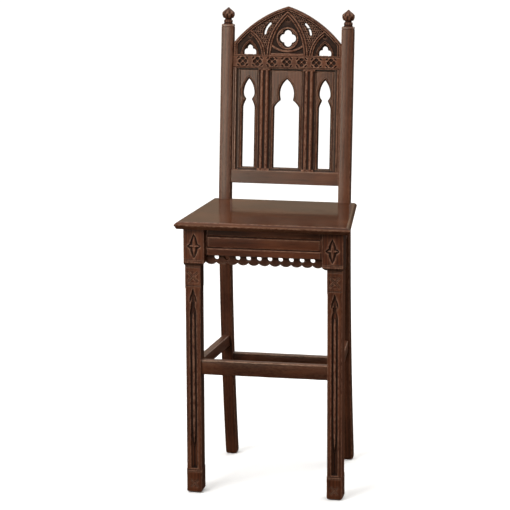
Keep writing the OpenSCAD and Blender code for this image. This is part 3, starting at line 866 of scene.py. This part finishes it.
def seat_board():
    """Trapezoid board with a sloped top edge, a thin nose and an undercut, notched round the posts."""
    y1 = SEAT_HI[1]

    def rim(u, y):
        return least(SEAT_HALF - np.abs(u), y - NOSE_Y, y1 - y)

    def outline(u, y):
        x = u * seat_half(y) / SEAT_HALF
        posts = rect(np.abs(x), y, INNER_X - 0.4, 2 * POST_X - INNER_X + 0.4, POST_Y, y1 + 9)
        return most(-rim(u, y), -posts)

    def front(u, y):
        e = rim(u, y)
        bevel = BEVEL_DROP * unit(1 - e / BEVEL_W)
        arris = 0.7 * bell(e - BEVEL_W, 1.6) + 0.5 * bell(e, 1.2)
        cut = softened(-outline(u, y), 1.0)
        return most(bevel + arris, cut) + 0.06 * (1 + wobble(u, y, 83, 5)) * (e > 9)

    def back(u, y):
        return UNDERCUT * unit(1 - rim(u, y) / UNDERCUT_W)

    us = grid(-SEAT_HALF, SEAT_HALF, 3.0, edge=14, fine=FINE)
    vs = grid(NOSE_Y, y1, 3.0, edge=14, fine=FINE)
    points, faces, _, _ = slab_mesh(us, vs, 0, SEAT_H - SEAT_Z, (outline, front, back))
    u, y, down = points.T
    local = np.stack([u * seat_half(y) / SEAT_HALF, y, SEAT_H - down], 1)
    edge = rim(u, y)
    # Light lines along the top of the bevel and along the nose: rubbing and painted highlight. Faces more
    # than 12 mm down, the lower undercut and the underside, get painted shade.
    rubbed = 0.8 * bell(edge - 8.0, 1.3) + 0.75 * bell(edge, 1.1)
    wear_and_highlight = where(down < 12, rubbed, 0.15)
    glaze_and_shade = where(down < 12, 0.0, 0.3)
    faces = [q[::-1] for q in faces]
    finish_piece("moulded_seat", "seat_board", local, faces, grain_of(local, "x", 6), glaze_and_shade, wear_and_highlight, SEAT_WOOD)


def chip_cross(x, z, half, deep):
    """Two crossing bars outlined by knife cuts, in a square."""
    square = most(np.abs(x), np.abs(z))
    away = np.abs(np.abs(x) - np.abs(z))
    cuts = bell(away - 2.6, 1.0) + 0.35 * unit((away - 3) / half)
    return deep * cuts * ramp((half - square) / 2.0)


def block_star(x, z):
    """Four ridged petals standing in a sunk star."""
    pocket = least(petal(x, z, 33, 10.5), petal(z, x, 18.5, 9.5))
    tall = unit(-petal(x, z, 29, 7.0) / 4.6)
    wide = unit(-petal(z, x, 16.5, 5.6) / 4.0)
    raised = most(tall, wide)
    return where(pocket < 0.5, 4.3 * ramp(0.5 - pocket / 2.2) * (1 - 0.93 * raised), 0)


def leg_panel(x, z):
    """Blind light down the leg: pointed head of three leaves, cusps, and a long sinking round a rib."""
    head = petal(x, z - 553, 21, 4.6)
    head = least(head, petal(*turned(np.abs(x) - 6.2, z - 548, -14), 13, 2.2))
    neck = rect(x, z, -4.6, 4.6, 516, 538)
    long = most(pointed(x, z, 8.3, 505, 532), 70 - z)
    sunk = least(head, neck, long)
    trough = 3.0 * ramp((205 - z) / 60) * unit(1 - np.abs(x) / 6)
    depth = 4.6 * ramp(0.5 - sunk / 2.6) + trough * (sunk < 0)
    standing = most(pointed(x, z, 2.9, 492, 508), pointed(x, -z, 2.9, -200, -140))
    crown = 1.2 + 0.9 * (x / 2.9) ** 2
    depth = where(standing < 0.8, least(depth, crown + 4 * ramp((standing + 0.3) / 1.1)), depth)
    cusp = disc(np.abs(x), z, 8.6, 535, 2.4)
    return where(cusp < 0, 0.4 * depth, depth)


def leg_shaft(dx, z, foot_z):
    """Depth of the shaft's carving below the block's face; dx is measured from the shaft's middle."""
    side = LEG_HALF - np.abs(dx)
    depth = BLOCK_OUT + softened(side, 1.6) + leg_panel(dx, z)
    depth += groove(side - 3.4, 0.8, 0.9) * ramp((z - 74) / 3) * ramp((570 - z) / 3)
    depth += chip_cross(dx, z - CROSS_Z, 16.5, 3.4) + chip_cross(dx, z - FOOT_CROSS_Z, 12.5, 2.2)
    for height, half, deep in LEG_LINES:
        depth += groove(z - height, half, deep)
    return depth + softened(z - foot_z, 2.0) + 1.2 * (1 - ramp((z - 40) / 24)) * (side < 1.4)


def front_leg(side):
    """Square leg with a wider block at its top, both carved in front."""
    node = "front_leg_" + SIDES[side]
    low, high = span(node)
    centre = side * LEG_X
    block_x, block_half = (low[0] + high[0]) / 2, (high[0] - low[0]) / 2
    foot_z = low[2]

    def outline(x, z):
        waist = 1.3 * ramp((z - 66) / 5) * ramp((578 - z) / 5) + most(foot_z + FOOT_CUT - z, 0)
        shaft = most(np.abs(x - centre) - LEG_HALF + waist, z - BLOCK_Z - 2)
        wide = np.abs(x - block_x) - block_half
        cut = where(side * (x - centre) > 0, 0, most(BLOCK_Z + BLOCK_CUT - z, 0))
        block = most(wide + cut, BLOCK_Z - z, z - high[2])
        return most(least(shaft, block), foot_z - z)

    def front(x, z):
        block = softened(block_half - np.abs(x - block_x), 1.5)
        block = block + block_star(x - block_x + side * 0.5, z - STAR_Z)
        for height, half, deep in BLOCK_LINES:
            block += groove(z - height, half, deep)
        block = most(block, BLOCK_OUT * (1 - ramp((z - BLOCK_Z) / 8)))
        depth = where(z < BLOCK_Z, leg_shaft(x - centre, z, foot_z), most(block, 0))
        return depth + 0.15 * wobble(x, z, 29, 7 + side)

    def back(x, z):
        half = where(z < BLOCK_Z, LEG_HALF - np.abs(x - centre), block_half - np.abs(x - block_x))
        return softened(half, 1.6) + 0.2 * wobble(x, z, 37, 9 + side)

    box = low[0], high[0], low[2], high[2]
    board("carved_leg_" + SIDES[side], node, box, (0.9, 1.1), (outline, front, back), "z", 7 + side,
          CARVED, leaning=False, loops=(0.05, 0.3, 0.6, 0.95), rubbed=0.8)


def front_apron():
    """Rail under the seat with two sunk lines; its middle band stops short of the legs' blocks."""
    low, high = span("front_apron")
    half = -span("pierced_valance")[0][0]
    upper, lower = APRON_Z0 + 52.3, APRON_Z0 + 21.1
    end = half - 6

    def front(x, z):
        depth = 3.4 * bell(z - upper, 1.7) + 3.0 * bell(z - lower, 1.5)
        between = (z < upper) & (z > lower)
        stop = 2.8 * bell(end - np.abs(x), 1.5) * between
        depth = where(np.abs(x) > end, 1.1, most(depth, stop))
        swell = 0.7 * ((z - (upper + lower) / 2) / 16) ** 2 * between
        step = 1.2 * (z > upper)
        return depth + swell + step + softened(z - low[2], 2.2) + 0.18 * wobble(x, z, 43, 10)

    def back(x, z):
        return 12.0 * (z < low[2] + 25)

    board("apron_front", "front_apron", (-half, half, low[2], high[2]), (1.2, 0.9), (None, front, back),
          "x", 10, CARVED, leaning=False, rubbed=0.6)


def pierced_valance():
    """Scalloped strip with a drilled hole over each cusp."""
    low, high = span("pierced_valance")
    count = 11
    pitch = (high[0] - low[0]) / count
    lobe_r = (pitch * pitch / 4 + SCALLOP * SCALLOP) / (2 * SCALLOP)
    hole_z, hole_r = APRON_Z0 - 6.5, 6.75

    def above(x, z):
        """Height over the scalloped edge."""
        u = (x - low[0]) % pitch - pitch / 2
        return z - (low[2] + lobe_r - circle(lobe_r, u))

    def hole(x, z):
        k = np.clip(np.rint((x - low[0]) / pitch), 1, count - 1)
        return disc(x, z, low[0] + pitch * k, hole_z, hole_r)

    def outline(x, z):
        return most(-above(x, z), z - high[2], np.abs(x) - high[0], -hole(x, z))

    def front(x, z):
        line = groove(above(x, z) - 4.0, 0.8, 0.7)
        return softened(least(above(x, z), hole(x, z)), 1.6) + line + 0.12 * wobble(x, z, 21, 11)

    def back(x, z):
        return softened(least(above(x, z), hole(x, z)), 1.0)

    # ground below zero gives the whole front the glazing with painted shade.
    board("scalloped_valance", "pierced_valance", (low[0], high[0], low[2], high[2]), (FINE, FINE),
          (outline, front, back), "x", 11, CARVED, leaning=False, rubbed=0.25, ground=-1.0)


# ----- rails -----

TENON = 1.5


def box_of(node):
    """Centre and size of a CAD node, in millimetres."""
    low, high = span(node)
    return (low + high) / 2, high - low


def straight(name, node, start, end, thick, tall, seed, worn_and_lit=1.0, arris=2.4):
    """A square-edged rail between two points, with hand-eased edges."""
    run = end - start
    length = np.linalg.norm(run)
    across = np.array([run[1], -run[0], 0.0]) / length
    rings = []
    for t in np.linspace(0, 1, 2 + int(length / 9)):
        ease = arris * (1 + 0.25 * sin(9 * t + seed) * sin(23 * t + 2 * seed))
        rings.append((start * (1 - t) + end * t, across, (0, 0, 1), thick / 2, tall / 2, ease))
    swept(name, node, rings, seed, worn_and_lit)


def side_rails():
    """Aprons and stretchers from the front legs back to the posts, along the seat's splay."""
    for side, word in SIDES.items():
        for kind, seed in (("apron", 12), ("stretcher", 14)):
            node = "side_" + kind + "_" + word
            centre, size = box_of(node)
            z = centre[2]
            front = np.array([side * LEG_X, LEG_Y + LEG_HALF, z])
            back = np.array([side * POST_X, post_front(z) + POST_D / 2, z])
            along = (back - front) / np.linalg.norm(back - front)
            front += along * (LEG_HALF - 2 * TENON)
            back -= along * (POST_D / 2 - 2 * TENON)
            straight(kind + "_" + word, node, front, back, 20.0, size[2], seed + side)


def cross_rail(name, node, half, seed, *edges):
    centre, size = box_of(node)
    reach = np.array([half, 0, 0])
    middle = centre * (0, 1, 1)
    straight(name, node, middle + reach, middle - reach, size[1], size[2], seed, *edges)


def cross_rails():
    """The two stretchers that run across, and the rear apron."""
    cross_rail("stretcher_front", "front_stretcher", LEG_X - LEG_HALF + TENON, 16, 1.3, 3.4)
    cross_rail("stretcher_rear", "rear_stretcher", INNER_X + TENON, 17)
    cross_rail("apron_rear", "rear_apron", INNER_X + TENON, 18)


# ----- rear posts and finials -----

EASE = 40.0
ARC_TOP = SEAT_H - EASE
FOOT_KICK = 76.0
SWEEP_R = (ARC_TOP ** 2 + FOOT_KICK ** 2) / (2 * FOOT_KICK)
POST_LEN = 484.2
POST_ARRIS = 2.6


def post_front(z):
    """Y of a rear post's front face at height z."""
    if z < ARC_TOP:
        return POST_Y + SWEEP_R - sqrt(SWEEP_R ** 2 - (ARC_TOP - z) ** 2)
    if z < SEAT_H + EASE:
        return POST_Y + tan(RAKE) * (z - ARC_TOP) ** 2 / (4 * EASE)
    return POST_Y + tan(RAKE) * (z - SEAT_H)


# The post's chamfered top: how far each ring is below the top, and how far it is drawn in.
POST_CAP = ((8.0, 0.0), (7.2, 1.1), (6.4, 1.1), (5.6, 0.0), (1.8, 0.3), (0.5, 1.2), (0.0, 2.2))


def post_rings(side):
    """Rings of the swept part, from the foot to just above the seat."""
    for k, z in enumerate(np.arange(FLOOR_GAP, SEAT_H + EASE, 9.0)):
        slope = atan((post_front(z + 1) - post_front(z - 1)) / 2)
        tilt = RAKE * float(ramp(np.float64((z - ARC_TOP + 90) / 160)))
        deep = np.array([0, cos(tilt), -sin(tilt)])
        half = POST_D / 2 * cos(slope) / cos(slope - tilt)
        front = np.array([side * POST_X, post_front(z), z])
        pull, arris = (0, POST_ARRIS) if k else (1, 3.6)
        yield front + deep * half, (1, 0, 0), deep, POST_W / 2 - pull, half - pull, arris


def rear_post(side):
    """Square post, swept back below the seat and leaning above it, with a chamfered top."""
    rings = list(post_rings(side))
    deep = np.array([0, cos(RAKE), -sin(RAKE)])
    up = np.array([0, sin(RAKE), cos(RAKE)])
    half = POST_D / 2 * cos(RAKE)
    base = np.array([side * POST_X, POST_Y, SEAT_H]) + deep * half
    first = (SEAT_H + EASE) / cos(RAKE) - SEAT_H + 2
    heights = [(lift, 0.0) for lift in np.arange(first, POST_LEN - 12, 9.0)]
    heights += [(POST_LEN - down, pull) for down, pull in POST_CAP]
    for lift, pull in heights:
        rings.append((base + up * lift, (1, 0, 0), deep, POST_W / 2 - pull, half - pull, POST_ARRIS))
    swept("post_" + SIDES[side], "rear_post_" + SIDES[side], rings, 20 + side)


BALL_R, BALL_Z, COLLAR_Z = 17.5, 28.0, 7.4
FINIAL_FOOT = ((0, 11.8), (0.5, 12.4), (2.8, 12.4), (3.4, 11.0), (4.2, 11.4), (6.0, 12.3), (8.4, 12.4),
               (10.4, 11.6), (11.6, 10.2), (12.8, 9.2), (14.2, 8.9), (15.4, 9.4), (16.6, 11.0))
FINIAL_BUD = ((31.4, 16.9), (33.2, 15.7), (35.0, 14.0), (36.8, 12.0), (38.6, 9.8), (40.4, 7.4),
              (42.0, 5.3), (43.4, 3.8), (44.8, 2.8))


def finial(side):
    """Turned foot and neck under a fluted ball with a pointed bud. Profiles are (height, radius)."""
    node = "finial_" + SIDES[side]
    low, high = lean_span(node)
    angles = [radians(-42 + 48 * k / 13) for k in range(14)]
    ball = [(BALL_Z + BALL_R * sin(a), BALL_R * cos(a)) for a in angles]
    profile = [*FINIAL_FOOT, *ball, *FINIAL_BUD, (high[2] - POST_LEN, 1.2)]
    around, leaves = 96, 8
    middle, deep = (low[0] + high[0]) / 2, POST_D / 2 * cos(RAKE)
    local, glaze_and_shade, wear_and_highlight = [], [], []
    for z, r in profile:
        on_ball = max(0.0, 1 - ((z - BALL_Z) / 13.5) ** 2)
        on_collar = max(0.0, 1 - ((z - COLLAR_Z) / 3.6) ** 2)
        necks = 0.8 * (2.6 < z < 4.4) + 0.7 * (12 < z < 17)
        for k in range(around):
            a = 2 * pi * k / around
            cleft = (0.5 + 0.5 * cos(leaves * a + pi * (z > BALL_Z))) ** 3
            bead = abs(sin(6 * a))
            pulled = r * (1 - 0.12 * on_ball * cleft - 0.09 * on_collar * (1 - bead))
            local.append((middle + pulled * cos(a), deep + pulled * sin(a), POST_LEN + z))
            # Clefts of the flutes, the collar and the necks darken with glazing and painted shade; the
            # ball's ridges and the collar's beads lighten with rubbing and painted highlight.
            glaze_and_shade.append(0.9 * on_ball * cleft + 0.8 * on_collar * (1 - bead) + necks)
            wear_and_highlight.append(max(0.0, 0.9 * on_ball * (1 - 2.5 * cleft)) + 0.7 * on_collar * bead)
    local = np.array(local)
    grain = grain_of(local, "z", 22 + side)
    faces = tube(len(profile), around)
    finish_piece("fluted_" + node, node, leaned(local), faces, grain, glaze_and_shade, wear_and_highlight, CARVED)


# ----- hidden and metal parts that stay as the frame has them -----

def finish_node(node, material, bevel=0.0):
    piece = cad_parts[node]
    piece.data.materials.clear()
    piece.data.materials.append(material)
    if bevel:
        soft = piece.modifiers.new("arris", "BEVEL")
        soft.width = bevel
        soft.segments = 2
        soft.limit_method = "ANGLE"


def kept_nodes():
    for node in sorted(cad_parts):
        if node.startswith("corner_block") and not node.endswith("screws"):
            finish_node(node, BEECH, 0.0012)
        elif node.endswith("screws") or node == "valance_brads":
            finish_node(node, METAL)
        elif node == "foot_glides":
            finish_node(node, GLIDE_METAL, 0.0004)
        elif node == "crest_dowels":
            finish_node(node, BEECH)


# ----- room, light and camera -----

DOME_LOW, DOME_HIGH = 0.04, 1.75
KEY, STRIP, FILL = 170.0, 1.75, 55.0

def stage_piece(name, verts, faces, material, hidden_from):
    """Adds a piece of the room that the named kinds of ray pass through."""
    mesh = bpy.data.meshes.new(name)
    mesh.from_pydata(verts, [], faces)
    mesh.materials.append(material)
    piece = new_object(name, mesh)
    for ray in hidden_from:
        setattr(piece, "visible_" + ray, False)


def floor():
    r = 60.0
    corners = [(-r, -r, 0), (r, -r, 0), (r, r, 0), (-r, r, 0)]
    stage_piece("studio_floor", corners, [(0, 1, 2, 3)], pale_floor("pale_floor"), ("glossy", "diffuse"))


def backdrop():
    """Round white screen far behind the floor. Only the camera sees it, so it lights nothing."""
    around, radius, tall = 72, 45.0, 40.0
    verts, faces = [], []
    for k in range(around):
        a = 2 * pi * k / around
        verts += [(radius * cos(a), radius * sin(a), z) for z in (-0.5, tall)]
        b = 2 * ((k + 1) % around)
        faces.append((2 * k, b, b + 1, 2 * k + 1))
    unseen = ("glossy", "diffuse", "shadow", "transmission")
    stage_piece("studio_screen", verts, faces, white_screen("white_screen"), unseen)


def softbox(name, place, target, width, height, power, spread=180.0):
    light = bpy.data.lights.new(name, "AREA")
    light.shape = "RECTANGLE"
    light.size, light.size_y = width, height
    light.energy = power
    light.spread = radians(spread)
    lamp = new_object(name, light)
    lamp.location = place
    lamp.visible_camera = False
    lamp.rotation_mode = "QUATERNION"
    lamp.rotation_quaternion = (Vector(target) - Vector(place)).to_track_quat("-Z", "Y")


def lighting():
    """A dome that is bright overhead and dim at the horizon, with softboxes in front and behind."""
    world = bpy.data.worlds.new("studio")
    world.use_nodes = True
    tree = world.node_tree
    kinds = ("TexCoord", "SeparateXYZ", "MapRange", "ValToRGB")
    place, split, climb, warmth = [tree.nodes.new("ShaderNode" + kind) for kind in kinds]
    sky = tree.nodes["Background"].inputs
    climb.inputs["To Min"].default_value = DOME_LOW
    climb.inputs["To Max"].default_value = DOME_HIGH
    amber, white = warmth.color_ramp.elements
    amber.position, white.position = 0.3, 0.6
    amber.color = (1.0, 0.84, 0.62, 1)
    tree.links.new(place.outputs["Generated"], split.inputs[0])
    tree.links.new(split.outputs["Z"], climb.inputs["Value"])
    tree.links.new(climb.outputs[0], sky["Strength"])
    tree.links.new(split.outputs["Z"], warmth.inputs[0])
    tree.links.new(warmth.outputs[0], sky["Color"])
    scene.world = world
    softbox("key", (-2.3, -3.7, 4.1), (0, 0, 0.85), 2.4, 1.8, KEY)
    softbox("strip", (-0.68, -1.6, 1.18), (-0.16, 0, 1.18), 0.45, 1.2, STRIP, 70.0)
    softbox("fill", (2.7, 3.6, 2.6), (0, 0, 0.6), 2.2, 2.2, FILL)


def camera():
    """Long lens, a little right of the chair's middle line and above it, looking slightly down."""
    yaw, pitch, roll = 0.19459609, 0.22406411, -0.00404334
    place = Vector((1.31704, -6.9870, 2.25326))
    forward = Vector((-sin(yaw) * cos(pitch), cos(yaw) * cos(pitch), -sin(pitch)))
    right = Vector((cos(yaw), sin(yaw), 0))
    up = right.cross(forward)
    level = Matrix((right, up, -forward)).transposed()
    lens = bpy.data.cameras.new("camera")
    lens.sensor_width = 36.0
    lens.lens = 187.9
    lens.clip_end = 200.0
    eye = new_object("camera", lens)
    eye.matrix_world = Matrix.Translation(place) @ (level @ Matrix.Rotation(roll, 3, "Z")).to_4x4()
    scene.camera = eye


camera()
crest_panel()
frieze_rail()
lower_back_rail()
splat("panel_centre", "splat_centre", 69.0, 39.0, 35.0, 30)
splat("panel_left", "splat_left", 32.0, 30.0, 17.0, 31)
splat("panel_right", "splat_right", 32.0, 30.0, 17.0, 32)
mullion(1, 33)
mullion(-1, 34)
edge_strip(1, 35)
edge_strip(-1, 36)
seat_board()
for side in SIDES:
    front_leg(side)
    rear_post(side)
    finial(side)
front_apron()
pierced_valance()
side_rails()
cross_rails()
kept_nodes()
floor()
backdrop()
lighting()
scene.view_settings.view_transform = "Standard"
